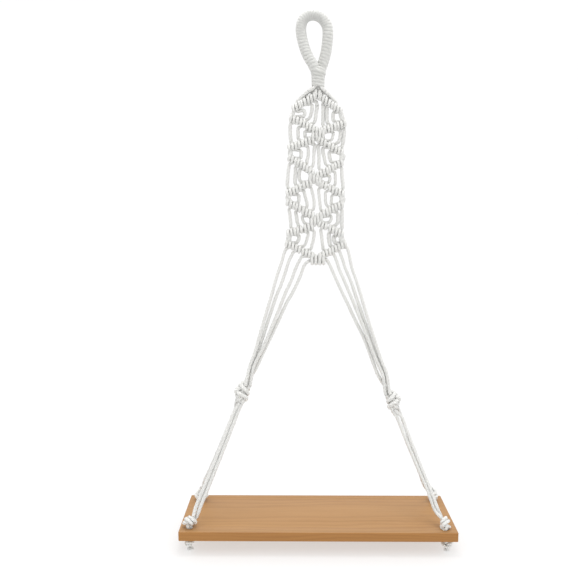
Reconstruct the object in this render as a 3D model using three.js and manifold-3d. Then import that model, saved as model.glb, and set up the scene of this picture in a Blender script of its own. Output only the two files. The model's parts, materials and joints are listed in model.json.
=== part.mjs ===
// Hanging rope shelf: a wooden board held at its four corners by cotton cords
// that run up through two leg knots, a knotted diamond panel, a wrapped neck
// and a wrapped hanging loop.
// Units are millimetres, +Z is up, X runs along the board and the front faces -Y.
// The origin is the inner top of the loop's eye, where a hook carries the shelf.
import * as THREE from "three";
import { mergeVertices } from "three/addons/utils/BufferGeometryUtils.js";
import Module from "manifold-3d";

const wasm = await Module();
wasm.setup();

// ---------- driving dimensions ----------
const AXIS_X = 8; // the board's middle; the loop leans a little to the left of it

// board
const BOARD_LENGTH = 420, BOARD_DEPTH = 130, BOARD_THICKNESS = 14;
const BOARD_TOP_Z = -751;
const HOLE_X = 195, HOLE_Y = 49, HOLE_RADIUS = 4.6; // from the board's middle

// cords
const CORD_R = 2.3; // a free run of cord
const SLING_CORD_R = 2.5; // a cord between a leg knot and the board
const PANEL_CORD_R = 2.1; // a working cord of the panel
const HOLDER_R = 1.9; // the cord that the hitches are tied on, squeezed by them
const BORE_R = 2.25; // the way that a hitch leaves for its holder

// hanging loop and neck
const LOOP_TUBE_R = 8.05, LOOP_BORE_R = 3.85, LOOP_CORE_R = 3.0;
const NECK = { x: 7.6, top: -73.8, bottom: -94.4, outer: 9.6, inner: 6.35 };
const CROWN = { x: 7.0, z: -102.0, r: 6.2 }; // the sway and swing axes cross here

// hitches
const HITCH_HALF = 4.4, HITCH_R = 5.2;

// joint planes
const PANEL_END_Z = -354.6, LEG_START_Z = -358.2;

// leg knots
const KNOT_L = [-108, -553], KNOT_R = [125, -565]; // x, z
const KNOT_GAP_R = 14.3; // where the sling cords start, from a leg knot's middle

// corner knots, stop knots and frayed ends
const TOP_KNOT_R = 9.4, TOP_KNOT_HALF = 11.5;
const STEM_R = 4.05, STOP_KNOT_R = 9.2, STOP_KNOT_LENGTH = 13;
const FRAY_LENGTH = 9.2;

// ---------- materials ----------
const cotton = new THREE.MeshStandardMaterial({ color: 0xe6e5df, roughness: 0.95, metalness: 0 });
const cottonWrap = new THREE.MeshStandardMaterial({ color: 0xe9e8e3, roughness: 0.95, metalness: 0 });
const wood = new THREE.MeshStandardMaterial({ color: 0xc69662, roughness: 0.6, metalness: 0 });

// ---------- helpers ----------
const v = (x, y, z) => new THREE.Vector3(x, y, z);
const xz = (p, y = 0) => v(p[0], y, p[1]);

function ngon(r, sides, turn = 0) {
  const pts = [];
  for (let i = 0; i < sides; i++) {
    const a = turn + (i * 2 * Math.PI) / sides;
    pts.push(new THREE.Vector2(r * Math.cos(a), r * Math.sin(a)));
  }
  return pts;
}

// A smooth curve through the points. It is sampled the same number of times
// between each two of them, so points set close together round off a tight bend.
class Through extends THREE.CatmullRomCurve3 {
  constructor(points) {
    super(points, false, "centripetal");
  }
  getPointAt(u, target) {
    return this.getPoint(u, target);
  }
  getTangentAt(u, target) {
    return this.getTangent(u, target);
  }
}

// A tube of constant section along the curve through the points.
function tube(points, r, { sides = 8, per = 1, bore = 0, boreSides = 8 } = {}) {
  const shape = new THREE.Shape(ngon(r, sides));
  if (bore) shape.holes.push(new THREE.Path(ngon(bore, boreSides).reverse()));
  const path = points.length === 2 ? new THREE.LineCurve3(points[0], points[1]) : new Through(points);
  return new THREE.ExtrudeGeometry(shape, { steps: (points.length - 1) * per, extrudePath: path, bevelEnabled: false });
}

// A solid of revolution whose axis points along dir from the middle point.
function turned(profile, middle, dir, sides = 12) {
  const g = new THREE.LatheGeometry(profile.map((p) => new THREE.Vector2(p[0], p[1])), sides);
  const q = new THREE.Quaternion().setFromUnitVectors(v(0, 1, 0), dir.clone().normalize());
  g.applyQuaternion(q);
  g.translate(middle.x, middle.y, middle.z);
  return g;
}

function solid(geometry) {
  const g = geometry.clone();
  g.deleteAttribute("normal");
  g.deleteAttribute("uv");
  const m = mergeVertices(g, 1e-3);
  const make = (flip) => {
    const t = new Uint32Array(m.index.array);
    if (flip) for (let i = 0; i < t.length; i += 3) [t[i + 1], t[i + 2]] = [t[i + 2], t[i + 1]];
    return new wasm.Manifold(
      new wasm.Mesh({ numProp: 3, vertProperties: new Float32Array(m.attributes.position.array), triVerts: t }),
    );
  };
  const made = make(false);
  return made.volume() < 0 ? make(true) : made;
}

function geometryOf(manifold) {
  const m = manifold.getMesh(), n = m.numProp;
  const pos = new Float32Array(m.numVert * 3);
  for (let i = 0; i < m.numVert; i++) pos.set(m.vertProperties.subarray(i * n, i * n + 3), i * 3);
  const g = new THREE.BufferGeometry()
    .setAttribute("position", new THREE.BufferAttribute(pos, 3))
    .setIndex(new THREE.BufferAttribute(new Uint32Array(m.triVerts), 1));
  g.computeVertexNormals();
  return g;
}

const shelf = new THREE.Group();
shelf.name = "hanging_rope_shelf";
function add(group, name, geometryOrSolid, material) {
  const g = geometryOrSolid.isBufferGeometry ? geometryOf(solid(geometryOrSolid)) : geometryOf(geometryOrSolid);
  const mesh = new THREE.Mesh(g, material);
  mesh.name = name;
  group.add(mesh);
  return mesh;
}
const groups = {};
for (const name of ["hanger", "crown", "panel", "legs", "board"]) {
  groups[name] = new THREE.Group();
  groups[name].name = name;
  shelf.add(groups[name]);
}

// ---------- hanging loop and neck ----------
// The four long cords, laid together, run up one side of the eye and down the other.
const corePath = [
  v(7.6, -3.02, -93.6), v(7.6, -3.02, -84), v(7.6, -3.02, -73.4), v(5.0, -3.6, -66.5), v(0.4, -3.5, -59.6),
  v(-4.6, -2.4, -52.0), v(-9.0, -1.2, -42.5), v(-12.9, -0.5, -31.5), v(-15.9, 0, -20), v(-17.0, 0, -9),
  v(-14.2, 0, 0.6), v(-8.2, 0, 6.0), v(-0.5, 0, 7.9), v(8.2, 0, 6.5), v(15.8, 0, 1.2), v(20.6, 0, -7),
  v(22.0, 0, -16), v(21.3, 0.6, -27.5), v(20.0, 1.6, -38), v(18.0, 3.2, -48), v(15.6, 5.4, -57),
  v(12.6, 6.2, -63.6), v(9.8, 4.6, -68.6), v(7.6, 3.02, -73.4), v(7.6, 3.02, -84), v(7.6, 3.02, -93.6),
];
add(groups.hanger, "loop_core_cords", tube(corePath, LOOP_CORE_R, { sides: 7 }), cotton);

// The cord wound round them makes one skin, open at both ends.
const coreCurve = new Through(corePath), wrapPath = [];
const WRAP_START = 3.62 / 25, WRAP_END = 20.6 / 25, WRAP_RINGS = 20;
for (let i = 0; i <= WRAP_RINGS; i++)
  wrapPath.push(coreCurve.getPoint(WRAP_START + ((WRAP_END - WRAP_START) * i) / WRAP_RINGS));
add(
  groups.hanger,
  "loop_wrap",
  tube(wrapPath, LOOP_TUBE_R, { sides: 12, bore: LOOP_BORE_R, boreSides: 7 }),
  cottonWrap,
);

// The neck: a gathering wrap round both ends of the cords.
const ridge = 4.1, neckProfile = [];
neckProfile.push([NECK.inner, NECK.bottom]);
for (let z = NECK.bottom; z < NECK.top - 1; z += ridge) {
  neckProfile.push([NECK.outer - 0.9, z + 0.05]);
  neckProfile.push([NECK.outer, z + ridge * 0.5]);
}
neckProfile.push([NECK.outer - 0.9, NECK.top]);
neckProfile.push([NECK.inner, NECK.top]);
neckProfile.push([NECK.inner, NECK.bottom]);
const neck = new THREE.LatheGeometry(neckProfile.map((p) => new THREE.Vector2(p[0], p[1])), 14);
neck.rotateX(Math.PI / 2); // the profile's height becomes Z
neck.translate(NECK.x, 0, 0);
add(groups.hanger, "neck_wrap", neck, cottonWrap);

// ---------- crown knot ----------
// A ball: both axes of the upper joint cross in its middle.
add(
  groups.crown,
  "crown_knot",
  new THREE.SphereGeometry(CROWN.r, 12, 8).rotateX(Math.PI / 2).translate(CROWN.x, 0, CROWN.z),
  cotton,
);

// ---------- the knotted panel ----------
// Two holder cords zigzag from the middle to the edge and back, four times.
// x, z of each holder at rest, one list for each straight of the zigzag.
const MIDDLES = [[6.0, -163.9], [1.8, -229.7], [3.6, -289.8]]; // where the holders meet
const HOLDER_LEFT = [
  [[-0.6, -102.4], [-4.5, -105.0], [-13.6, -112.0], [-22.0, -120.6], [-29.5, -129.2]],
  [[-32.6, -134.6], [-31.6, -137.6], [-25.4, -140.6], [-17.2, -146.4], [-8.6, -152.4], [-1.2, -158.2]],
  [[-1.4, -168.8], [-5.6, -171.1], [-14.8, -176.1], [-24.2, -181.0], [-31.0, -184.6]],
  [[-35.0, -188.2], [-33.2, -191.4], [-27.4, -197.4], [-19.6, -205.0], [-11.4, -212.9], [-4.0, -221.6]],
  [[-4.6, -233.6], [-9.8, -236.3], [-19.0, -242.0], [-28.4, -248.0], [-34.0, -251.6]],
  [[-37.0, -255.4], [-34.8, -259.0], [-28.3, -264.6], [-19.4, -271.1], [-10.0, -277.7], [-2.6, -284.0]],
  [[-2.4, -295.4], [-6.2, -299.3], [-15.6, -304.2], [-25.4, -308.8], [-31.6, -312.2]],
  [[-35.4, -317.0], [-33.4, -320.8], [-28.2, -325.9], [-18.6, -332.7], [-8.6, -339.4]],
];
const HOLDER_RIGHT = [
  [[14.7, -102.9], [17.2, -106.4], [25.9, -113.9], [34.2, -122.8], [40.6, -129.6]],
  [[44.2, -135.0], [43.4, -140.8], [38.2, -146.2], [29.2, -151.8], [19.6, -156.0], [12.2, -159.6]],
  [[12.0, -169.8], [16.6, -173.4], [25.8, -179.3], [35.0, -185.5], [40.8, -189.6]],
  [[45.4, -194.6], [44.2, -199.6], [37.8, -206.0], [28.8, -213.2], [18.9, -219.9], [9.0, -225.4]],
  [[8.4, -232.6], [13.8, -235.4], [23.4, -241.2], [33.0, -247.8], [39.4, -252.6]],
  [[45.2, -258.6], [43.0, -263.8], [37.0, -268.4], [27.6, -274.6], [17.9, -281.0], [10.2, -285.6]],
  [[9.4, -293.4], [13.8, -295.8], [23.6, -301.2], [33.5, -307.5], [40.0, -312.0]],
  [[45.8, -318.0], [45.0, -323.8], [40.0, -329.6], [31.0, -336.0], [21.2, -342.2]],
];
// x, z of the hitches on each straight: the outer, the middle and the inner cord.
const HITCH_LEFT = [
  [[-22.6, -121.3], [-14.0, -112.3], [-5.2, -105.5]],
  [[-25.4, -140.6], [-17.0, -146.6], [-8.3, -152.7]],
  [[-24.4, -181.0], [-14.8, -176.1], [-5.4, -171.0]],
  [[-27.4, -197.4], [-19.5, -205.0], [-11.4, -212.9]],
  [[-28.5, -248.1], [-18.9, -241.9], [-9.7, -236.3]],
  [[-28.3, -264.5], [-19.3, -271.2], [-9.9, -277.8]],
  [[-25.6, -308.8], [-15.6, -304.2], [-6.1, -299.2]],
  [[-28.4, -325.7], [-18.6, -332.7], [-8.5, -339.4]],
];
const HITCH_RIGHT = [
  [[34.3, -122.8], [25.7, -113.8], [17.4, -106.5]],
  [[38.3, -146.1], [28.9, -151.9], [19.3, -156.1]],
  [[34.9, -185.5], [25.7, -179.3], [16.4, -173.3]],
  [[37.7, -206.0], [28.8, -213.2], [18.8, -219.9]],
  [[33.0, -247.8], [23.4, -241.2], [13.7, -235.3]],
  [[37.0, -268.4], [27.6, -274.6], [17.7, -281.1]],
  [[33.4, -307.5], [23.6, -301.2], [13.8, -295.8]],
  [[40.0, -329.6], [31.0, -336.0], [21.2, -342.2]],
];
// x of each cord half way between two hitches: inside a diamond, then beside it.
const BETWEEN_LEFT = [
  [[-16.6, -130.6], [-5.6, -130.0], [3.6, -130.0]],
  [[-32.6, -160.5], [-20.6, -160.8], [-10.6, -161.6]],
  [[-19.8, -189.4], [-7.6, -192.0], [1.4, -192.4]],
  [[-35.4, -222.4], [-24.6, -223.2], [-16.0, -224.0]],
  [[-22.8, -256.6], [-9.4, -256.8], [1.2, -257.4]],
  [[-32.8, -286.4], [-22.6, -287.4], [-12.6, -288.2]],
  [[-20.8, -317.4], [-8.9, -318.6], [0.6, -319.6]],
];
const BETWEEN_RIGHT = [
  [[31.4, -134.2], [20.8, -132.2], [13.6, -131.0]],
  [[43.6, -165.4], [30.6, -165.8], [19.4, -164.6]],
  [[29.2, -196.0], [18.0, -196.4], [9.8, -196.4]],
  [[44.0, -227.0], [32.4, -227.4], [22.0, -227.4]],
  [[28.4, -258.2], [19.4, -257.8], [11.0, -257.8]],
  [[43.6, -288.4], [37.0, -288.6], [25.4, -288.6]],
  [[32.4, -318.6], [24.0, -318.4], [15.0, -318.8]],
];
// x where each cord leaves the panel for the legs
const EXIT_LEFT = [-49.0, -35.9, -22.6];
const EXIT_RIGHT = [59.8, 49.0, 37.6];

// The holders pass each other at each middle, the left one in front.
function holderPath(rows, frontSide, startAt) {
  const pts = [], y = frontSide ? -2.35 : 2.35;
  rows.forEach((row, i) => {
    row.forEach((p, j) => {
      // near a middle the cord is half way to its crossing depth
      const nearMiddle = (i % 2 === 1 && j === row.length - 1) || (i > 0 && i % 2 === 0 && j === 0);
      pts.push(xz(p, nearMiddle ? y * 0.7 : 0));
    });
    if (i % 2 === 1 && i < 7) {
      const m = MIDDLES[(i - 1) / 2];
      pts.push(v(m[0] + (frontSide ? 0.4 : -0.4), y, m[1]));
    }
  });
  return pts;
}
const BOTTOM = [6.4, -349.2]; // the middle of the bottom knot
const leftHolder = holderPath(HOLDER_LEFT, true).concat([
  v(-1.6, -1.6, -345.8), v(BOTTOM[0], -2.3, BOTTOM[1]), v(15.2, -1.6, -349.6), v(21.6, 0, -351.0), v(27.0, 0, PANEL_END_Z),
]);
const rightHolder = holderPath(HOLDER_RIGHT, false).concat([
  v(14.2, 1.6, -346.8), v(BOTTOM[0], 2.3, BOTTOM[1]), v(-1.8, 1.6, -349.4), v(-7.0, 0, -350.6), v(-10.4, 0, PANEL_END_Z),
]);
const holderSolid = (path, r) => solid(tube(path, r, { sides: 6 }));

const hitchProfile = (half, r) => [[0, -half], [r * 0.84, -half], [r, 0], [r * 0.84, half], [0, half]];
const rightHolderSolid = holderSolid(rightHolder, HOLDER_R);
const rightHolderBore = holderSolid(rightHolder, BORE_R);
const leftHolderBore = holderSolid(leftHolder, BORE_R);

// The left holder is hitched round the right one at each middle and at the bottom.
let leftHolderSolid = holderSolid(leftHolder, HOLDER_R);
for (const m of MIDDLES) {
  leftHolderSolid = leftHolderSolid.add(
    solid(turned(hitchProfile(4.6, 5.4), v(m[0], 0, m[1]), v(1, 0, 0), 7)),
  );
}
leftHolderSolid = leftHolderSolid
  .add(solid(turned(hitchProfile(9.0, 4.7), v(BOTTOM[0], 0, BOTTOM[1]), v(1, 0, 0), 8)))
  .subtract(rightHolderBore);
add(groups.panel, "panel_holder_left", leftHolderSolid, cotton);
add(groups.panel, "panel_holder_right", rightHolderSolid, cotton);

// direction of the holder at a hitch, from its neighbours on the row
function rowDirection(row, p) {
  let best = 0, far = Infinity;
  for (let i = 0; i + 1 < row.length; i++) {
    const mx = (row[i][0] + row[i + 1][0]) / 2, mz = (row[i][1] + row[i + 1][1]) / 2;
    const d = Math.hypot(mx - p[0], mz - p[1]);
    if (d < far) { far = d; best = i; }
  }
  const a = row[Math.max(0, best - 1)], b = row[Math.min(row.length - 1, best + 2)];
  return v(b[0] - a[0], 0, b[1] - a[1]).normalize();
}

// Ways into the first hitch, past the hitches nearer the crown: outer, middle, inner.
const LEAD_LEFT = [
  [v(-1.0, -6.4, -101.8), v(-6.4, -7.7, -105.6), v(-13.4, -7.8, -111.2), v(-19.0, -6.3, -116.4)],
  [v(-1.0, 6.4, -101.8), v(-5.8, 7.7, -105.2), v(-10.3, 6.2, -108.9)],
  [v(-3.0, -2.9, -101.2)],
];
const LEAD_RIGHT = [
  [v(15.2, -6.4, -102.2), v(19.6, -7.7, -107.2), v(25.6, -7.8, -113.0), v(30.8, -6.3, -118.0)],
  [v(15.2, 6.4, -102.2), v(18.6, 7.7, -106.4), v(22.0, 6.2, -110.0)],
  [v(16.2, -2.9, -101.8)],
];
function panelCord(i, rows, hitches, between, lead, exitX, bore) {
  const pts = [...lead[i]];
  hitches.forEach((row, r) => {
    pts.push(xz(row[i]));
    if (r < 7) pts.push(xz(between[r][i]));
  });
  const last = hitches[7][i];
  pts.push(v(exitX[i] * 0.52 + last[0] * 0.48, 0, PANEL_END_Z * 0.5 + last[1] * 0.5));
  pts.push(v(exitX[i], 0, PANEL_END_Z));
  let s = solid(tube(pts, PANEL_CORD_R, { sides: 5, per: 2 }));
  hitches.forEach((row, r) => {
    s = s.add(solid(turned(hitchProfile(HITCH_HALF, HITCH_R), xz(row[i]), rowDirection(rows[r], row[i]), 6)));
  });
  return s.subtract(bore);
}
["outer", "middle", "inner"].forEach((place, i) => {
  add(groups.panel, "panel_cord_left_" + place,
    panelCord(i, HOLDER_LEFT, HITCH_LEFT, BETWEEN_LEFT, LEAD_LEFT, EXIT_LEFT, leftHolderBore), cotton);
  add(groups.panel, "panel_cord_right_" + place,
    panelCord(i, HOLDER_RIGHT, HITCH_RIGHT, BETWEEN_RIGHT, LEAD_RIGHT, EXIT_RIGHT, rightHolderBore), cotton);
});

// ---------- legs: four cords to each leg knot ----------
const LEG_LEFT_DIR = v(-0.33, 0, -0.944).normalize();
const LEG_RIGHT_DIR = v(0.38, 0, -0.925).normalize();
const KNOT_TOP_L = 13.2, KNOT_TOP_R = 10.8; // from a knot's middle to its flat top
function legEnd(knot, dir, top, side, y) {
  const n = v(-dir.z, 0, dir.x); // across the leg, towards +X
  return xz(knot).addScaledVector(dir, -(top + 1.0)).addScaledVector(n, side * 2.45).add(v(0, y, 0));
}
const LEFT_LEGS = {
  outer_front: [[v(-50.2, 0, LEG_START_Z), v(-55.4, -0.4, -375.4), v(-61.4, -0.9, -398.6), v(-72.8, -1.6, -436.4), v(-88.6, -2.2, -488.0)], -1, -2.45],
  outer_rear: [[v(-37.0, 0, LEG_START_Z), v(-46.2, 0.6, -381.4), v(-54.6, 1.1, -402.6), v(-65.8, 1.7, -433.6), v(-84.2, 2.3, -488.0)], -1, 2.45],
  inner_front: [[v(-23.7, 0, LEG_START_Z), v(-32.6, -0.5, -379.2), v(-40.6, -1.0, -398.8), v(-50.8, -1.5, -428.2), v(-62.2, -1.9, -453.8), v(-75.0, -2.2, -481.0)], 1, -2.45],
  inner_rear: [[v(-11.8, 0, LEG_START_Z), v(-19.3, 0.4, -373.6), v(-30.0, 0.9, -395.9), v(-45.0, 1.5, -428.0), v(-58.4, 1.9, -457.8), v(-75.4, 2.3, -496.6), v(-86.4, 2.4, -522.0)], 1, 2.45],
};
const RIGHT_LEGS = {
  inner_front: [[v(28.4, 0, LEG_START_Z), v(39.0, -0.5, -383.6), v(52.6, -1.0, -413.6), v(64.6, -1.6, -439.2), v(73.0, -1.9, -455.0), v(91.0, -2.3, -501.0), v(106.2, -2.4, -533.0)], -1, -2.45],
  inner_rear: [[v(39.0, 0, LEG_START_Z), v(48.4, 0.5, -378.0), v(61.0, 1.0, -411.0), v(79.4, 1.9, -455.0), v(96.4, 2.3, -501.0), v(107.6, 2.4, -531.0)], -1, 2.45],
  outer_front: [[v(50.3, 0, LEG_START_Z), v(57.4, -0.4, -378.0), v(67.4, -1.0, -407.0), v(85.8, -1.9, -455.0), v(101.6, -2.3, -501.0)], 1, -2.45],
  outer_rear: [[v(61.1, 0, LEG_START_Z), v(68.0, 0.4, -380.8), v(76.4, 0.9, -406.0), v(92.2, 1.9, -455.0), v(106.8, 2.3, -501.0)], 1, 2.45],
};
for (const [name, [pts, side, y]] of Object.entries(LEFT_LEGS))
  add(groups.legs, "leg_cord_left_" + name,
    tube([...pts, legEnd(KNOT_L, LEG_LEFT_DIR, KNOT_TOP_L, side, y)], CORD_R, { sides: 7, per: 1 }), cotton);
for (const [name, [pts, side, y]] of Object.entries(RIGHT_LEGS))
  add(groups.legs, "leg_cord_right_" + name,
    tube([...pts, legEnd(KNOT_R, LEG_RIGHT_DIR, KNOT_TOP_R, side, y)], CORD_R, { sides: 7, per: 1 }), cotton);

// An overhand knot of all four cords. Its lower half stays inside the ball that
// the sling cords turn round when the board tilts.
function legKnot(knot, dir, top, r) {
  const p = [[0, -top], [5.6, -top], [r * 0.86, -top * 0.62], [r, -2.0], [r, 3.2], [r * 0.86, 8.0], [6.4, 11.6], [0, 13.4]];
  return turned(p, xz(knot), dir, 12);
}
add(groups.legs, "leg_knot_left", legKnot(KNOT_L, LEG_LEFT_DIR, KNOT_TOP_L, 11.8), cotton);
add(groups.legs, "leg_knot_right", legKnot(KNOT_R, LEG_RIGHT_DIR, KNOT_TOP_R, 11.2), cotton);

// ---------- board ----------
const hole = (sx, sy) =>
  solid(
    new THREE.CylinderGeometry(HOLE_RADIUS, HOLE_RADIUS, BOARD_THICKNESS + 10, 16)
      .rotateX(Math.PI / 2)
      .translate(AXIS_X + sx * HOLE_X, sy * HOLE_Y, BOARD_TOP_Z - BOARD_THICKNESS / 2),
  );
let board = solid(
  new THREE.BoxGeometry(BOARD_LENGTH, BOARD_DEPTH, BOARD_THICKNESS, 5, 3, 1)
    .translate(AXIS_X, 0, BOARD_TOP_Z - BOARD_THICKNESS / 2),
);
for (const sx of [-1, 1]) for (const sy of [-1, 1]) board = board.subtract(hole(sx, sy));
add(groups.board, "shelf_board", board, wood);

// ---------- sling cords, corner knots, stop knots, frayed ends ----------
for (const [side, sx, knot] of [["left", -1, KNOT_L], ["right", 1, KNOT_R]]) {
  for (const [depth, sy] of [["front", -1], ["rear", 1]]) {
    const at = depth + "_" + side;
    const from = xz(knot), mouth = v(AXIS_X + sx * HOLE_X, sy * HOLE_Y, BOARD_TOP_Z);
    const dir = mouth.clone().sub(from).normalize();
    const middle = mouth.clone().addScaledVector(dir, -(TOP_KNOT_HALF + 1.9));
    // two cords side by side, across the line of sight
    const across = v(0, 1, 0).cross(dir).normalize();
    if (across.x < 0) across.negate();
    for (const [n, s] of [["outer", sx], ["inner", -sx]]) {
      const a = from.clone().addScaledVector(dir, KNOT_GAP_R).addScaledVector(across, s * (SLING_CORD_R + 0.15));
      const b = middle.clone().addScaledVector(dir, -(TOP_KNOT_HALF + 0.4)).addScaledVector(across, s * (SLING_CORD_R + 0.15));
      add(groups.board, "sling_cord_" + at + "_" + n, tube([a, b], SLING_CORD_R, { sides: 8 }), cotton);
    }
    const h = TOP_KNOT_HALF, r = TOP_KNOT_R;
    add(groups.board, "top_knot_" + at,
      turned([[0, -h], [5.4, -h], [r * 0.88, -h * 0.6], [r, -h * 0.15], [r, h * 0.1], [r * 0.8, h * 0.55], [r * 0.4, h * 0.84], [0, h * 0.9]], middle, dir, 12),
      cotton);
    const under = BOARD_TOP_Z - BOARD_THICKNESS - 0.35, k = STOP_KNOT_LENGTH, R = STOP_KNOT_R;
    const stop = [[0, under - k], [R * 0.6, under - k], [R * 0.9, under - k * 0.8], [R, under - k * 0.55],
      [R * 0.96, under - k * 0.2], [R * 0.8, under], [STEM_R, under], [STEM_R, BOARD_TOP_Z - 0.2], [0, BOARD_TOP_Z - 0.2]];
    add(groups.board, "stop_knot_" + at,
      new THREE.LatheGeometry(stop.map((p) => new THREE.Vector2(p[0], p[1])), 12)
        .rotateX(Math.PI / 2).translate(mouth.x, mouth.y, 0),
      cotton);
    const f = under - k - 0.35;
    add(groups.board, "frayed_end_" + at,
      new THREE.LatheGeometry([[0, f - FRAY_LENGTH], [5.6, f - FRAY_LENGTH], [6.4, f - FRAY_LENGTH * 0.7], [4.6, f], [0, f]]
        .map((p) => new THREE.Vector2(p[0], p[1])), 10)
        .rotateX(Math.PI / 2).translate(mouth.x, mouth.y, 0),
      cotton);
  }
}

export default shelf;
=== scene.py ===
# Hanging rope shelf: the looks. Cotton cords, hitches, wraps and knots as swept,
# twisted three-strand cord, and a wooden board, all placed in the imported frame.
# Lengths in this file are millimetres until a mesh is made, then metres.
import json
import math

import bpy
import numpy as np
from mathutils import Matrix, Vector


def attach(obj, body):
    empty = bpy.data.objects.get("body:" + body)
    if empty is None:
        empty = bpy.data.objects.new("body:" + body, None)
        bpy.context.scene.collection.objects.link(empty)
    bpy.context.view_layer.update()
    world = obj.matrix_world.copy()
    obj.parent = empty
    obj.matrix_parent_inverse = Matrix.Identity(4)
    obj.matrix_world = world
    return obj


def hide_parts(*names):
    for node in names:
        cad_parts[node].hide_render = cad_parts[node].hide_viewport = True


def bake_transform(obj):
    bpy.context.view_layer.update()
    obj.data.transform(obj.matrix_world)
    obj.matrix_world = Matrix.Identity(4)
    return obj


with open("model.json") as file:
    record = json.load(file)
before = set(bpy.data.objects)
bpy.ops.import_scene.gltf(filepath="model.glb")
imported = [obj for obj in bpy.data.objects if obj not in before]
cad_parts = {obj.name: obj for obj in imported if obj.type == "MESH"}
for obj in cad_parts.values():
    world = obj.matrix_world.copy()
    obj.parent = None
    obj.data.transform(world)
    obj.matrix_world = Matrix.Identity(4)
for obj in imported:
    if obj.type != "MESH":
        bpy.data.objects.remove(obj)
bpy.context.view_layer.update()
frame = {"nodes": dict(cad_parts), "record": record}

MM = 0.001
scene = bpy.context.scene

# ------------------------------------------------------------------ sizes
AXIS_X = 8.0
BOARD_TOP = -751.0
BOARD_L, BOARD_D, BOARD_T = 420.0, 130.0, 14.0
HOLE_X, HOLE_Y, HOLE_R = 195.0, 49.0, 4.6
CORD_R = 2.7       # a free cord
HITCH_CORD_R = 2.5   # in a hitch
CORE_R = 1.8       # the holder inside a hitch
LAY = 16.0         # one turn of the cord's three strands

MIDDLES = [[8.4, -161.6], [4.2, -226.2], [6.2, -287.2]]
BOTTOM = [7.6, -346.6]
CROWN = [7.2, -103.6]

# the hitches in eight rows down the panel: outer, middle, inner (x, z)
HITCH_LEFT = [
    [[-23.8, -121.0], [-14.0, -115.4], [-2.0, -108.6]],
    [[-27.2, -139.0], [-15.0, -144.6], [-1.0, -152.0]],
    [[-29.6, -178.8], [-17.4, -174.4], [-4.6, -169.8]],
    [[-29.8, -197.0], [-19.0, -203.2], [-6.0, -212.6]],
    [[-32.8, -245.6], [-20.8, -239.8], [-7.6, -233.4]],
    [[-32.6, -262.4], [-21.4, -268.4], [-6.6, -276.6]],
    [[-31.4, -305.2], [-19.2, -301.8], [-5.4, -297.6]],
    [[-34.2, -324.0], [-22.0, -330.0], [-7.0, -337.2]],
]
HITCH_RIGHT = [
    [[37.4, -124.4], [26.8, -117.6], [15.6, -109.4]],
    [[42.6, -146.6], [30.8, -150.8], [18.6, -154.6]],
    [[39.3, -184.8], [27.2, -178.2], [14.0, -170.6]],
    [[38.8, -204.4], [28.0, -210.6], [15.2, -217.6]],
    [[40.6, -246.4], [28.4, -240.8], [14.8, -233.8]],
    [[40.0, -265.4], [28.6, -271.6], [15.2, -279.0]],
    [[40.6, -306.4], [28.8, -300.4], [15.4, -294.0]],
    [[45.0, -325.0], [33.4, -331.2], [19.6, -338.0]],
]
# where a holder turns back at the panel's edge, and how thick it bulges there
CORNERS_LEFT = [
    [[-27.6, -128.0], [-28.8, -131.4], [-29.2, -135.0]],
    [[-32.4, -184.8], [-33.0, -188.6], [-32.4, -192.6]],
    [[-35.8, -249.8], [-36.2, -253.8], [-35.6, -257.8]],
    [[-34.8, -309.6], [-35.2, -313.8], [-35.6, -318.4]],
]
CORNERS_RIGHT = [
    [[41.6, -130.0], [42.8, -134.6], [44.0, -139.4]],
    [[42.8, -189.0], [44.5, -193.8], [43.4, -198.4]],
    [[43.0, -250.4], [45.0, -255.2], [44.0, -260.2]],
    [[42.6, -309.8], [44.0, -314.8], [45.8, -320.0]],
]
CORNER_R = {"left": [3.4, 4.3, 4.7, 4.8], "right": [4.5, 4.9, 5.2, 5.0]}
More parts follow.
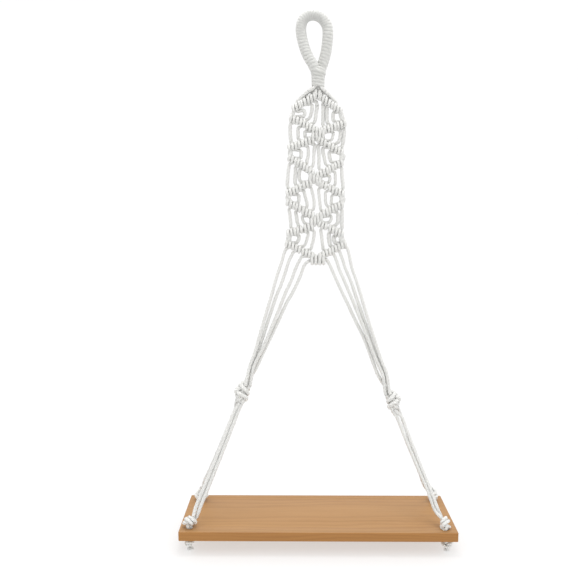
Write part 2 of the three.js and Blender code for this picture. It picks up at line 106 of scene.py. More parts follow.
# the open lengths between two rows: for outer, middle and inner, top to bottom (x, z, and its radius if it isn't the usual one)
BETWEEN_LEFT = [
    [[[-20.8, -127.0], [-13.4, -126.0], [-11.0, -130.2], [-13.8, -134.6], [-19.6, -134.8]],
     [[-1.6, -117.8], [-0.3, -123.0], [-2.0, -130.0], [-4.7, -137.0]],
     [[4.6, -113.4], [6.8, -119.0, 3.2], [6.2, -125.0], [5.0, -132.0], [4.4, -137.0], [2.8, -143.0]]],
    [[[-32.6, -145.6], [-33.0, -152.0], [-32.8, -160.0], [-32.2, -167.0], [-31.4, -172.0]],
     [[-21.0, -151.6], [-21.2, -159.0], [-21.0, -166.0]],
     [[-11.0, -156.6], [-11.2, -161.0], [-10.8, -164.6]]],
    [[[-17.4, -185.0], [-16.6, -190.0], [-18.4, -195.0]],
     [[-7.4, -178.4], [-6.0, -186.0], [-6.4, -193.0], [-8.2, -199.0], [-8.6, -203.4]],
     [[3.2, -176.0, 3.2], [2.9, -182.0, 3.0], [2.2, -188.0], [2.2, -195.0], [1.4, -203.0], [-0.6, -208.0]]],
    [[[-34.0, -204.0], [-35.4, -211.0], [-36.6, -221.0], [-37.4, -231.0], [-36.8, -238.4]],
     [[-25.0, -209.0], [-25.2, -216.0], [-26.0, -223.0], [-26.0, -230.0], [-24.4, -234.4]],
     [[-17.6, -211.0], [-19.4, -216.0], [-19.8, -221.0], [-19.4, -226.0], [-16.4, -230.0]]],
    [[[-20.6, -250.0], [-20.4, -256.0], [-21.4, -261.2]],
     [[-13.0, -243.8], [-10.8, -251.6], [-8.8, -258.0], [-7.8, -263.6], [-9.0, -268.2]],
     [[-1.8, -239.4], [-0.2, -246.0], [1.4, -252.0], [2.4, -258.0], [2.6, -265.0], [1.0, -271.4]]],
    [[[-35.0, -270.6], [-33.9, -277.0], [-33.1, -285.0], [-32.5, -292.0], [-32.2, -298.0]],
     [[-25.0, -275.0], [-23.8, -281.0], [-23.2, -287.0], [-21.6, -293.6]],
     [[-15.2, -281.8], [-14.4, -286.0], [-12.6, -290.8]]],
    [[[-19.8, -311.0], [-20.6, -316.0], [-23.4, -320.6]],
     [[-6.2, -306.4], [-7.4, -313.4], [-9.2, -319.4], [-11.8, -325.0]],
     [[2.4, -303.6], [2.4, -311.0], [1.4, -318.0], [-0.6, -325.0], [-2.2, -330.6]]],
]
BETWEEN_RIGHT = [
    [[[31.6, -129.4], [30.5, -134.6], [31.2, -140.8]],
     [[21.4, -120.6, 3.2], [21.0, -126.0, 3.2], [21.0, -135.0], [21.4, -142.0], [24.2, -146.2]],
     [[15.6, -115.4, 3.1], [15.8, -121.0], [15.6, -130.0], [15.4, -140.0], [15.8, -147.4]]],
    [[[46.9, -153.4], [46.9, -160.0], [46.4, -167.0], [45.2, -173.6], [43.8, -178.4]],
     [[41.0, -155.4], [41.4, -160.0], [40.8, -166.4], [38.8, -171.6], [34.4, -174.0]],
     [[30.8, -158.0], [30.2, -163.0], [29.0, -167.6], [24.6, -170.0]]],
    [[[25.4, -186.4, 3.2], [25.2, -191.0], [26.0, -195.6], [28.0, -200.4]],
     [[16.2, -180.4, 3.1], [15.8, -187.0, 3.2], [17.4, -193.4, 2.8], [18.4, -199.0], [20.2, -204.6]],
     [[8.8, -177.0, 3.1], [9.0, -183.0, 3.0], [9.6, -190.0], [9.8, -197.0], [9.8, -206.0], [10.8, -212.0]]],
    [[[43.2, -209.8], [44.0, -219.0], [45.0, -229.0], [45.6, -236.0], [45.4, -241.4]],
     [[33.6, -216.4], [34.2, -224.0], [34.4, -231.0], [33.0, -235.6]],
     [[25.6, -222.0], [26.2, -227.0], [23.8, -231.0]]],
    [[[29.8, -250.4], [28.8, -257.0], [28.6, -263.2]],
     [[20.2, -245.2], [19.7, -253.0], [19.8, -260.0], [21.8, -265.4]],
     [[9.8, -240.6], [10.2, -250.0], [11.0, -259.0], [12.0, -267.0], [13.0, -272.0]]],
    [[[44.2, -271.6], [44.7, -282.0], [44.8, -293.0], [44.4, -299.8]],
     [[37.8, -276.6], [38.4, -284.0], [38.2, -290.6], [34.4, -295.0]],
     [[28.2, -281.4], [28.4, -286.0], [24.8, -290.4]]],
    [[[33.4, -311.6], [32.6, -317.0], [35.6, -321.6]],
     [[25.8, -306.4], [25.0, -311.6], [25.5, -318.0], [27.4, -325.4]],
     [[13.2, -300.6], [13.8, -309.0], [14.8, -318.0], [15.8, -326.0], [16.8, -331.4]]],
]
# how thick each of these lengths is
OPEN_R = {
    "left": [[3.0, 2.9, 3.0], [3.2, 3.0, 2.8], [3.1, 2.8, 2.5], [3.0, 3.1, 3.0], [3.0, 2.9, 2.6], [2.9, 3.1, 2.7], [3.1, 2.7, 2.8]],
    "right": [[3.1, 3.1, 2.9], [3.1, 2.9, 2.5], [3.0, 2.7, 2.7], [3.0, 2.6, 2.7], [2.7, 2.6, 2.7], [3.2, 3.2, 2.7], [3.6, 3.5, 2.8]],
}
LEG_LEFT = [
    [[-38.8, -329.6], [-41.8, -335.0], [-43.4, -340.0], [-46.2, -350.0], [-49.7, -360.0], [-54.7, -374.8], [-61.4, -398.4], [-72.6, -436.1], [-81.4, -465.8], [-88.2, -490.0], [-96.4, -512.0]],
    [[-28.4, -335.4], [-31.7, -341.0], [-36.0, -350.0], [-39.0, -360.0], [-46.1, -381.7], [-54.8, -402.7], [-66.2, -436.7], [-75.9, -466.0], [-84.2, -490.0], [-93.2, -512.0]],
    [[-16.2, -342.6], [-18.4, -346.4], [-21.2, -351.4], [-25.0, -360.0], [-32.3, -379.1], [-41.2, -398.4], [-53.0, -428.4], [-63.6, -454.3], [-75.2, -481.5], [-90.2, -512.0]],
    [[-6.0, -349.8], [-10.2, -352.4], [-13.8, -360.0], [-18.8, -373.4], [-29.2, -395.7], [-38.6, -412.0], [-53.2, -444.0], [-65.2, -469.5], [-77.6, -495.3], [-86.6, -515.0]],
]
LEG_RIGHT = [
    [[52.4, -328.8], [54.5, -334.4], [56.2, -341.0], [58.0, -350.0], [60.4, -360.0], [67.8, -380.7], [75.4, -405.3], [85.4, -438.0], [96.4, -472.0], [105.8, -500.0], [115.2, -524.0]],
    [[40.8, -333.8], [42.4, -337.6], [44.2, -342.0], [47.2, -350.0], [49.9, -359.0], [57.9, -377.7], [67.0, -403.6], [79.9, -440.6], [91.6, -474.0], [102.4, -502.0], [112.6, -525.0]],
    [[27.6, -338.4], [31.4, -338.2], [34.0, -341.4], [36.0, -346.4], [38.0, -352.0], [40.4, -360.0], [48.6, -378.6], [62.6, -411.4], [76.8, -446.0], [88.6, -476.0], [99.0, -502.0], [109.4, -526.0]],
    [[21.4, -346.6], [24.6, -351.0], [28.8, -360.0], [39.0, -382.8], [53.4, -412.6], [66.2, -440.4], [79.0, -466.4], [92.0, -500.0], [102.2, -526.0]],
]
KNOT_L, KNOT_R = [-107.0, -555.0], [125.0, -567.4]


# ------------------------------------------------------------------ curves
def unit(a):
    a = np.asarray(a, float)
    return a / np.linalg.norm(a)


def catmull(P, step):
    """A centripetal curve through the points P: samples, and each point's place among them."""
    P = np.asarray(P, float)
    P = np.vstack([2 * P[0] - P[1], P, 2 * P[-1] - P[-2]])
    out, at, count = [], [], 0
    for i in range(1, len(P) - 2):
        p0, p1, p2, p3 = P[i - 1], P[i], P[i + 1], P[i + 2]
        t0 = 0.0
        t1 = t0 + max(np.linalg.norm(p1 - p0), 1e-6) ** 0.5
        t2 = t1 + max(np.linalg.norm(p2 - p1), 1e-6) ** 0.5
        t3 = t2 + max(np.linalg.norm(p3 - p2), 1e-6) ** 0.5
        n = max(2, int(np.linalg.norm(p2 - p1) / (step * 0.5)))
        t = np.linspace(t1, t2, n, endpoint=False)[:, None]
        a1 = (t1 - t) / (t1 - t0) * p0 + (t - t0) / (t1 - t0) * p1
        a2 = (t2 - t) / (t2 - t1) * p1 + (t - t1) / (t2 - t1) * p2
        a3 = (t3 - t) / (t3 - t2) * p2 + (t - t2) / (t3 - t2) * p3
        b1 = (t2 - t) / (t2 - t0) * a1 + (t - t0) / (t2 - t0) * a2
        b2 = (t3 - t) / (t3 - t1) * a2 + (t - t1) / (t3 - t1) * a3
        out.append((t2 - t) / (t2 - t1) * b1 + (t - t1) / (t2 - t1) * b2)
        at.append(count)
        count += n
    out.append(P[-2][None, :])
    at.append(count)
    return np.vstack(out), at


def resample(C, step, extra=()):
    """Evenly spaced points on the polyline C, with extra columns carried along."""
    s = np.r_[0, np.cumsum(np.linalg.norm(np.diff(C, axis=0), axis=1))]
    n = max(3, int(round(s[-1] / step)) + 1)
    u = np.linspace(0, s[-1], n)
    R = np.stack([np.interp(u, s, C[:, k]) for k in range(3)], 1)
    return R, u, [np.interp(u, s, e) for e in extra]


class Route:
    """A cord's way: points, each with the cord's radius there."""

    def __init__(self):
        self.p, self.r = [], []

    def to(self, x, y, z, r=CORD_R):
        self.p.append((x, y, z)); self.r.append(r)
        return self

    def run(self, pts, r=CORD_R):
        for q in pts:
            self.to(q[0], q[1], q[2], r)
        return self

    def hitch(self, c, t, turns=2, pitch=5.5, core=CORE_R, r=HITCH_CORD_R, lean=0.2, tall=1.0):
        """Round a holder at c that runs along t: it comes in behind from above,
        lays one upright bar over the front for each turn, and leaves behind."""
        t = unit(t)
        n = np.array([-t[2], 0.0, t[0]])
        if n[2] < 0:
            n = -n
        up = unit((1 - lean) * np.array([0.0, 0.0, 1.0]) + lean * n)
        back = np.array([0.0, 1.0, 0.0])
        R = core + r - 0.05
        steps = turns * 14
        for i in range(steps + 1):
            a = 90.0 + 360.0 * turns * i / steps
            lin = (a - 90.0) / 360.0 - turns / 2.0
            k = math.floor((a - 360.0) / 360.0)
            f = min(1.0, max(0.0, ((a - 360.0) - 360.0 * k) / 180.0))
            stepped = k + f * f * (3 - 2 * f) - (turns - 1) / 2.0
            stepped = min((turns - 1) / 2.0, max(-(turns - 1) / 2.0, stepped))
            along = pitch * (0.75 * stepped + 0.25 * lin)
            q = np.asarray(c, float) + t * along + up * (R * tall * math.cos(math.radians(a))) + back * (R * math.sin(math.radians(a)))
            self.to(*q, r)
        return self

    def curve(self, step=1.45):
        P = np.asarray(self.p, float)
        keep = [0] + [i for i in range(1, len(P)) if np.linalg.norm(P[i] - P[i - 1]) > 0.05]
        P, r = P[keep], np.asarray(self.r)[keep]
        C, at = catmull(P, step)
        s = np.r_[0, np.cumsum(np.linalg.norm(np.diff(C, axis=0), axis=1))]
        rad = np.interp(s, s[at], r)
        R, u, (rad,) = resample(C, step, (rad,))
        k = np.ones(5) / 5
        rad = np.convolve(np.r_[rad[0], rad[0], rad, rad[-1], rad[-1]], k, "valid")
        return R, u, rad


# ------------------------------------------------------------------ cord meshes
SIDES = 12


def profile(depth=0.17):
    """One ring of a three-strand cord, as radii at SIDES angles."""
    j = np.arange(SIDES)
    phi = np.abs(((j * 360.0 / SIDES + 60) % 120) - 60)  # 0 on a strand's crest, 60 in a groove
    return 1 - depth * (phi / 60.0) ** 2.0, phi / 60.0


def frames(C, start=None):
    T = np.gradient(C, axis=0)
    T /= np.linalg.norm(T, axis=1)[:, None]
    n = np.array(start if start is not None else [0.0, 1.0, 0.0], float)
    if abs(n @ T[0]) > 0.95:
        n = np.array([1.0, 0.0, 0.0])
    N = np.zeros_like(C)
    for i in range(len(C)):
        n = n - T[i] * (n @ T[i])
        n /= np.linalg.norm(n)
        N[i] = n
    return T, N, np.cross(T, N)


def rings(C, rad, s0=0.0, phase=0.0, lay=LAY, depth=0.17, normals=None, squash=None, wobble=0.0, seed=0, square=2.0):
    """The rings of a cord along C: (rings, SIDES, 3), and u, v and groove for each."""
    T, N, B = frames(C)
    if normals is not None:
        N = normals - T * np.sum(normals * T, 1)[:, None]
        N /= np.linalg.norm(N, axis=1)[:, None]
        B = np.cross(T, N)
    s = s0 + np.r_[0, np.cumsum(np.linalg.norm(np.diff(C, axis=0), axis=1))]
    prof, groove = profile(depth)
    j = np.arange(SIDES) * 2 * math.pi / SIDES
    turn = 2 * math.pi * s / lay + phase
    ang = j[None, :] + turn[:, None]
    r = rad[:, None] * prof[None, :]
    if wobble:
        g = np.random.RandomState(seed)
        w = g.normal(0, 1, (len(C) // 3 + 4, 3))
        k = np.linspace(0, len(w) - 1.001, len(C))
        lobe = (np.arange(SIDES) * 3 // SIDES)
        f = np.stack([np.interp(k, np.arange(len(w)), w[:, q]) for q in range(3)], 1)
        r = r * (1 + wobble * f[:, lobe])
    cx, cy = r * np.cos(ang), r * np.sin(ang)
    if square != 2.0:  # pressed between its neighbours: rounder corners become squarer
        k = (np.abs(np.cos(ang)) ** square + np.abs(np.sin(ang)) ** square) ** (-1.0 / square)
        cx, cy = cx * k, cy * k
    if squash is not None:  # (across the normal, along the normal)
        cx, cy = cx * squash[0], cy * squash[1]
    V = C[:, None, :] + N[:, None, :] * cx[..., None] + B[:, None, :] * cy[..., None]
    U = np.arange(SIDES)[None, :] / SIDES + s[:, None] / lay
    return V, U, s, np.broadcast_to(groove[None, :], U.shape)


def cord_mesh(name, parts):
    """One mesh from several lots of rings, each closed at both ends."""
    verts, faces, uvs, groove = [], [], [], []
    base = 0
    for V, U, s, G in parts:
        n, k = V.shape[:2]
        verts.append(V.reshape(-1, 3))
        groove.append(G.reshape(-1))
        for i in range(n - 1):
            for j in range(k):
                j2 = (j + 1) % k
                a, b = base + i * k + j, base + i * k + j2
                faces.append((a, b, b + k, a + k))
                u0, u1 = U[i, j], U[i, j] + 1.0 / k
                w0, w1 = U[i + 1, j], U[i + 1, j] + 1.0 / k
                uvs.append(((u0, s[i]), (u1, s[i]), (w1, s[i + 1]), (w0, s[i + 1])))
        verts.append(V[0].mean(0)[None, :]); verts.append(V[-1].mean(0)[None, :])
        groove.append([0.0, 0.0])
        c0, c1 = base + n * k, base + n * k + 1
        for j in range(k):
            j2 = (j + 1) % k
            faces.append((c0, base + j2, base + j))
            uvs.append(((0, s[0]), (0.1, s[0]), (0.1, s[0])))
            faces.append((c1, base + (n - 1) * k + j, base + (n - 1) * k + j2))
            uvs.append(((0, s[-1]), (0.1, s[-1]), (0.1, s[-1])))
        base += n * k + 2
    me = bpy.data.meshes.new(name)
    me.from_pydata((np.vstack(verts) * MM).tolist(), [], faces)
    layer = me.uv_layers.new(name="cord")
    flat = np.array([c for f in uvs for c in f], np.float32)
    flat[:, 1] *= 0.01
    layer.data.foreach_set("uv", flat.ravel())
    at = me.attributes.new("groove", "FLOAT", "POINT")
    at.data.foreach_set("value", np.concatenate(groove).astype(np.float32))
    me.polygons.foreach_set("use_smooth", [True] * len(me.polygons))
    me.update()
    ob = bpy.data.objects.new(name, me)
    scene.collection.objects.link(ob)
    return ob


def piece(ob, slot, replaces=(), body=None, blend=None):
    ob.data.materials.clear()
    ob.data.materials.append(MATERIALS[slot])
    if blend:
        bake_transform(ob)
    else:
        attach(ob, body)
    if replaces:
        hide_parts(*replaces)
    return ob


# ------------------------------------------------------------------ materials
def nodes_of(name):
    m = bpy.data.materials.new(name)
    m.use_nodes = True
    nt = m.node_tree
    for n in list(nt.nodes):
        if n.type != "BSDF_PRINCIPLED" and n.type != "OUTPUT_MATERIAL":
            nt.nodes.remove(n)
    return m, nt, nt.nodes["Principled BSDF"]


def math_node(nt, op, a, b=None, c=None, clamp=False):
    n = nt.nodes.new("ShaderNodeMath")
    n.operation = op
    n.use_clamp = clamp
    for i, v in enumerate((a, b, c)):
        if v is None:
            continue
        if isinstance(v, (int, float)):
            n.inputs[i].default_value = v
        else:
            nt.links.new(v, n.inputs[i])
    return n.outputs[0]


def mix_color(nt, fac, a, b, mode="MIX"):
    n = nt.nodes.new("ShaderNodeMix")
    n.data_type = "RGBA"
    n.blend_type = mode
    for sock, v in ((n.inputs[0], fac), (n.inputs[6], a), (n.inputs[7], b)):
        if isinstance(v, (int, float)):
            sock.default_value = v
        elif isinstance(v, tuple):
            sock.default_value = v if len(v) == 4 else (*v, 1.0)
        else:
            nt.links.new(v, sock)
    return n.outputs[2]


def noise(nt, vec, scale, detail=3.0, rough=0.55, distortion=0.0):
    n = nt.nodes.new("ShaderNodeTexNoise")
    n.inputs["Scale"].default_value = scale
    n.inputs["Detail"].default_value = detail
    n.inputs["Roughness"].default_value = rough
    n.inputs["Distortion"].default_value = distortion
    nt.links.new(vec, n.inputs["Vector"])
    return n.outputs["Fac"]


def mapping(nt, vec, scale=(1, 1, 1), loc=(0, 0, 0)):
    n = nt.nodes.new("ShaderNodeMapping")
    n.inputs["Scale"].default_value = scale
    n.inputs["Location"].default_value = loc
    nt.links.new(vec, n.inputs["Vector"])
    return n.outputs["Vector"]


def cotton(name, light, dark, yarn=0.5):
    """Cotton cord: fine yarns that run along it, a soft fuzz, and painted shade that darkens the grooves between its
    strands and the troughs between its yarns.
    """
    m, nt, bsdf = nodes_of(name)
    uv = nt.nodes.new("ShaderNodeUVMap"); uv.uv_map = "cord"
    pos = nt.nodes.new("ShaderNodeTexCoord").outputs["Object"]
    sep = nt.nodes.new("ShaderNodeSeparateXYZ")
    nt.links.new(uv.outputs[0], sep.inputs[0])
    wander = noise(nt, mapping(nt, pos, (260, 260, 260)), 1.0, 2.0)
    u = math_node(nt, "ADD", sep.outputs[0], math_node(nt, "MULTIPLY", wander, 0.10))
    yarns = math_node(nt, "SINE", math_node(nt, "MULTIPLY", u, 2 * math.pi * 15))
    fine = math_node(nt, "SINE", math_node(nt, "MULTIPLY", math_node(nt, "ADD", u, math_node(nt, "MULTIPLY", sep.outputs[1], 3.0)), 2 * math.pi * 37))
    fuzz = noise(nt, mapping(nt, pos, (2600, 2600, 2600)), 1.0, 4.0, 0.65)
    soft = noise(nt, mapping(nt, pos, (520, 520, 520)), 1.0, 3.0, 0.6)
    height = math_node(nt, "ADD", math_node(nt, "MULTIPLY", yarns, 0.34 * yarn), math_node(nt, "MULTIPLY", fine, 0.16 * yarn))
    height = math_node(nt, "ADD", height, math_node(nt, "MULTIPLY", fuzz, 0.75))
    height = math_node(nt, "ADD", height, math_node(nt, "MULTIPLY", soft, 0.6))
    bump = nt.nodes.new("ShaderNodeBump")
    bump.inputs["Strength"].default_value = 0.55
    bump.inputs["Distance"].default_value = 0.00035
    nt.links.new(height, bump.inputs["Height"])
    nt.links.new(bump.outputs[0], bsdf.inputs["Normal"])
    g = nt.nodes.new("ShaderNodeAttribute"); g.attribute_name = "groove"
    # painted shade: the colour goes darker in the strand grooves and between the yarns, where crevice shade falls
    groove_shade = math_node(nt, "MULTIPLY", math_node(nt, "POWER", g.outputs["Fac"], 3.0), 0.42)
    line = math_node(nt, "MULTIPLY", math_node(nt, "SUBTRACT", 0.5, math_node(nt, "MULTIPLY", yarns, 0.5)), 0.16 * yarn)
    cloud = math_node(nt, "MULTIPLY", noise(nt, mapping(nt, pos, (38, 38, 38)), 1.0, 3.0), 0.30)
    fac = math_node(nt, "ADD", math_node(nt, "ADD", groove_shade, line), cloud, clamp=True)
    col = mix_color(nt, fac, light, dark)
    nt.links.new(col, bsdf.inputs["Base Color"])
    bsdf.inputs["Roughness"].default_value = 0.92
    bsdf.inputs["Specular IOR Level"].default_value = 0.2
    bsdf.inputs["Subsurface Weight"].default_value = 0.5
    bsdf.inputs["Subsurface Radius"].default_value = (1.0, 1.0, 1.0)
    bsdf.inputs["Subsurface Scale"].default_value = 0.0016
    bsdf.inputs["Sheen Weight"].default_value = 0.35
    bsdf.inputs["Sheen Roughness"].default_value = 0.55
    return m


def wood(name):
    """A tan board cut along the grain: growth rings far off the board's centre,
    so the top shows long fine lines and the ends show short arcs."""
    m, nt, bsdf = nodes_of(name)
    pos = nt.nodes.new("ShaderNodeTexCoord").outputs["Object"]
    # the grain wanders slowly along X
    drift = noise(nt, mapping(nt, pos, (3.2, 14, 14)), 1.0, 2.0)
    sep = nt.nodes.new("ShaderNodeSeparateXYZ")
    nt.links.new(pos, sep.inputs[0])
    y = math_node(nt, "ADD", math_node(nt, "SUBTRACT", sep.outputs[1], 0.022), math_node(nt, "MULTIPLY", drift, 0.035))
    z = math_node(nt, "ADD", sep.outputs[2], 0.751 + 0.085)
    r = math_node(nt, "SQRT", math_node(nt, "ADD", math_node(nt, "MULTIPLY", y, y), math_node(nt, "MULTIPLY", z, z)))
    rough_r = math_node(nt, "ADD", math_node(nt, "MULTIPLY", r, 2 * math.pi / 0.0042),
                        math_node(nt, "MULTIPLY", noise(nt, mapping(nt, pos, (9, 120, 120)), 1.0, 3.0), 5.0))
    ringw = math_node(nt, "SINE", rough_r)
    late = math_node(nt, "POWER", math_node(nt, "MULTIPLY", math_node(nt, "ADD", ringw, 1.0), 0.5), 3.0)
    streak = noise(nt, mapping(nt, pos, (14, 620, 620)), 1.0, 4.0, 0.6)
    pores = noise(nt, mapping(nt, pos, (60, 2600, 2600)), 1.0, 2.0, 0.5)
    broad = noise(nt, mapping(nt, pos, (2.2, 26, 26)), 1.0, 2.0)
    a = mix_color(nt, math_node(nt, "MULTIPLY", streak, 1.0, clamp=True), (0.476, 0.261, 0.104), (0.387, 0.201, 0.075))
    b = mix_color(nt, math_node(nt, "MULTIPLY", late, 0.30), a, (0.281, 0.134, 0.045))
    c = mix_color(nt, math_node(nt, "MULTIPLY", math_node(nt, "SUBTRACT", broad, 0.42), 1.1, clamp=True), b, (0.511, 0.288, 0.120))
    dark = math_node(nt, "MULTIPLY", math_node(nt, "GREATER_THAN", pores, 0.66), 0.25)
    d = mix_color(nt, dark, c, (0.247, 0.115, 0.040))
    # painted shade: the sawn edges are coloured darker and more saturated than the faces, for the light that falls
    # mostly on the top
    side = math_node(nt, "GREATER_THAN", math_node(nt, "ABSOLUTE", sep.outputs[1]), BOARD_D / 2 * MM - 0.0008)
    end = math_node(nt, "GREATER_THAN", math_node(nt, "ABSOLUTE", math_node(nt, "SUBTRACT", sep.outputs[0], AXIS_X * MM)), BOARD_L / 2 * MM - 0.0008)
    edge = math_node(nt, "MAXIMUM", side, end)
    d = mix_color(nt, math_node(nt, "MULTIPLY", edge, 1.0), d, (0.90, 0.77, 0.52), "MULTIPLY")
    nt.links.new(d, bsdf.inputs["Base Color"])
    rgh = math_node(nt, "ADD", math_node(nt, "MULTIPLY", streak, 0.18), 0.44)
    nt.links.new(rgh, bsdf.inputs["Roughness"])
    bsdf.inputs["Specular IOR Level"].default_value = 0.4
    bump = nt.nodes.new("ShaderNodeBump")
    bump.inputs["Strength"].default_value = 0.35
    bump.inputs["Distance"].default_value = 0.0002
    nt.links.new(math_node(nt, "ADD", math_node(nt, "MULTIPLY", streak, 0.7), math_node(nt, "MULTIPLY", late, 0.3)), bump.inputs["Height"])
    nt.links.new(bump.outputs[0], bsdf.inputs["Normal"])
    return m


MATERIALS = {
    "cord": cotton("cotton_cord", (0.835, 0.833, 0.810), (0.690, 0.686, 0.660)),
    "wrap": cotton("cotton_wrap", (0.705, 0.707, 0.683), (0.560, 0.556, 0.530)),
    # painted light: the frayed yarns are coloured lighter than the cord, offsetting the board's shadow that falls on
    # them
    "frayed_cord": cotton("cotton_frayed_painted_light", (0.900, 0.897, 0.870), (0.760, 0.755, 0.725), yarn=0.7),
    "board": wood("board_wood"),
}
for node, ob in frame["nodes"].items():
    slot_name = next(s["material_slot"] for s in frame["record"]["subparts"] if s["node"] == node)
    ob.data.materials.clear()
    ob.data.materials.append(MATERIALS[slot_name])

# ------------------------------------------------------------------ hanging loop
LOOP_PATH = [
    (5.8, -1.4, -74.0), (3.8, -2.0, -69.0), (-0.3, -2.5, -60.6), (-5.9, -2.0, -51.8),
    (-10.2, -1.2, -42.3), (-13.8, -0.5, -31.3), (-16.3, 0, -20), (-17.0, 0, -9), (-14.3, 0, 0.4), (-8.4, 0, 6.1),
    (-0.5, 0, 8.0), (8.1, 0, 6.4), (15.6, 0, 0.9), (20.6, 0, -7.3), (22.0, 0, -16), (21.5, 0.6, -27.5),
    (20.3, 1.4, -38), (18.4, 2.4, -48), (15.8, 3.2, -57), (13.0, 3.2, -65.5), (10.4, 2.2, -73.0)]


def winding(path, r0, pitch, taper, step=1.15):
    """A cord wound round the path, left-handed: its points, and the way out from the core."""
    C, _ = catmull(path, 0.8)
    C, s, _ = resample(C, 0.5)
    T, N, B = frames(C, (0.0, 1.0, 0.0))
    # the turns lie closer where the path bends over the top
    fine = np.linspace(0, s[-1], 2000)
    per_mm = 1.0 / np.interp(fine / s[-1], (0, 0.28, 0.35, 0.6, 0.68, 1.0), (pitch, pitch, 3.3, 3.3, pitch, pitch))
    count = np.concatenate([[0.0], np.cumsum((per_mm[1:] + per_mm[:-1]) / 2 * np.diff(fine))])
    n = int(count[-1] * 2 * math.pi * r0 / step)
    turn = np.linspace(0, count[-1], n)
    u = np.interp(turn, count, fine)
    at = lambda A: np.stack([np.interp(u, s, A[:, k]) for k in range(3)], 1)
    c, nn, bb = at(C), at(N), at(B)
    r = np.interp(u / s[-1], taper[0], taper[1])
    a = -2 * math.pi * turn + 0.4
    radial = nn * np.cos(a)[:, None] + bb * np.sin(a)[:, None]
    return c + radial * r[:, None], radial


W, radial = winding(LOOP_PATH, 5.95, 4.6, ((0, 0.05, 0.34, 0.42, 0.56, 0.92, 1.0), (4.6, 5.8, 5.8, 5.8, 5.8, 6.1, 4.8)))
wrap = cord_mesh("loop_winding", [rings(W, np.full(len(W), 2.5), depth=0.04, lay=26, normals=radial, squash=(0.82, 1.26), square=3.4, wobble=0.01, seed=3)])
piece(wrap, "wrap", ["loop_wrap"], body="hanger")

core_parts = []
C0, _ = catmull([(7.0, -2.6, -88.0)] + LOOP_PATH + [(8.4, 2.6, -88.0)], 1.5)
C0, s0, _ = resample(C0, 1.6)
Tn, Nn, Bn = frames(C0)
for k in range(4):
    a = 2 * math.pi * k / 4 + 2 * math.pi * s0 / 90.0
    P = C0 + (Nn * np.cos(a)[:, None] + Bn * np.sin(a)[:, None]) * 2.3
    core_parts.append(rings(P, np.full(len(P), 1.75), phase=k * 1.3))
core = cord_mesh("loop_core", core_parts)
piece(core, "cord", ["loop_core_cords"], body="hanger")


def neck_winding():
    """Turns that gather both legs of the loop: the first ones are wide and slant
    down to the right, the last ones are level and snug."""
    top, bottom, pitch = -66.4, -93.2, 4.7
    turns = (top - bottom) / pitch
    n = int(turns * 46)
    a = np.linspace(0, 2 * math.pi * turns, n)
    z = top - pitch * a / (2 * math.pi)
    rx = np.interp(-z, [66, 69, 72, 75, 78, 90, 94], [9.2, 10.2, 9.5, 8.5, 7.9, 7.6, 7.5])
    ry = np.interp(-z, [66, 69, 72, 75, 78, 90, 94], [8.8, 9.0, 8.7, 8.1, 7.5, 7.4, 7.3])
    tilt = np.interp(-z, [66, 73, 79, 92], [0.3, 0.2, 0.08, 0.04])
    x = rx * np.sin(a)
    P = np.stack([7.9 + x, -ry * np.cos(a), z - tilt * x], 1)
    out = np.stack([np.sin(a), -np.cos(a), 0 * a], 1)
    # the first half turn starts inside, under the others
    f = np.clip(a / 0.9, 0, 1)[:, None]
    P = P * f + (P - out * 3.0) * (1 - f)
    return P, out


W, radial = neck_winding()
neck = cord_mesh("neck_winding", [rings(W, np.full(len(W), 2.4), depth=0.04, lay=26, normals=radial, squash=(0.84, 1.12), square=3.4, wobble=0.01, seed=5)])
piece(neck, "wrap", ["neck_wrap"], body="hanger")


# ------------------------------------------------------------------ cords from the neck to the board
STRAND_Y = 2.2  # the open lengths lie a little behind the holders
LEG_Y = [-2.4, 2.5, -2.4, 2.5]
SIDES_OF = {
    "left": (HITCH_LEFT, CORNERS_LEFT, BETWEEN_LEFT, LEG_LEFT, KNOT_L, unit([-0.33, 0, -0.944]), -1),
    "right": (HITCH_RIGHT, CORNERS_RIGHT, BETWEEN_RIGHT, LEG_RIGHT, KNOT_R, unit([0.38, 0, -0.925]), 1),
}
LEAD = {
    "left": [
        [(4.8, -2.8, -88.0), (3.0, -4.2, -93.6), (-2.8, -3.4, -97.0), (-8.8, -2.4, -100.8), (-14.4, -1.2, -105.4), (-19.6, 0.2, -110.4), (-22.6, 1.6, -113.8)],
        [(3.8, 2.6, -88.0), (1.4, 3.2, -94.4), (-5.0, 3.2, -98.6), (-11.0, 3.6, -105.6)],
        [(5.8, 1.0, -88.0), (4.0, 2.2, -94.6), (-0.8, 3.6, -100.6)],
    ],
    "right": [
        [(10.6, -2.8, -88.0), (12.8, -4.2, -93.8), (18.4, -3.4, -99.4), (24.4, -2.4, -104.4), (29.8, -1.2, -109.8), (34.2, 0.8, -115.0)],
        [(11.6, 2.6, -88.0), (14.2, 3.2, -94.4), (19.6, 3.2, -100.2), (25.4, 3.6, -107.6)],
        [(9.6, 1.0, -88.0), (12.0, 2.2, -94.6), (15.8, 3.6, -101.0)],
    ],
}
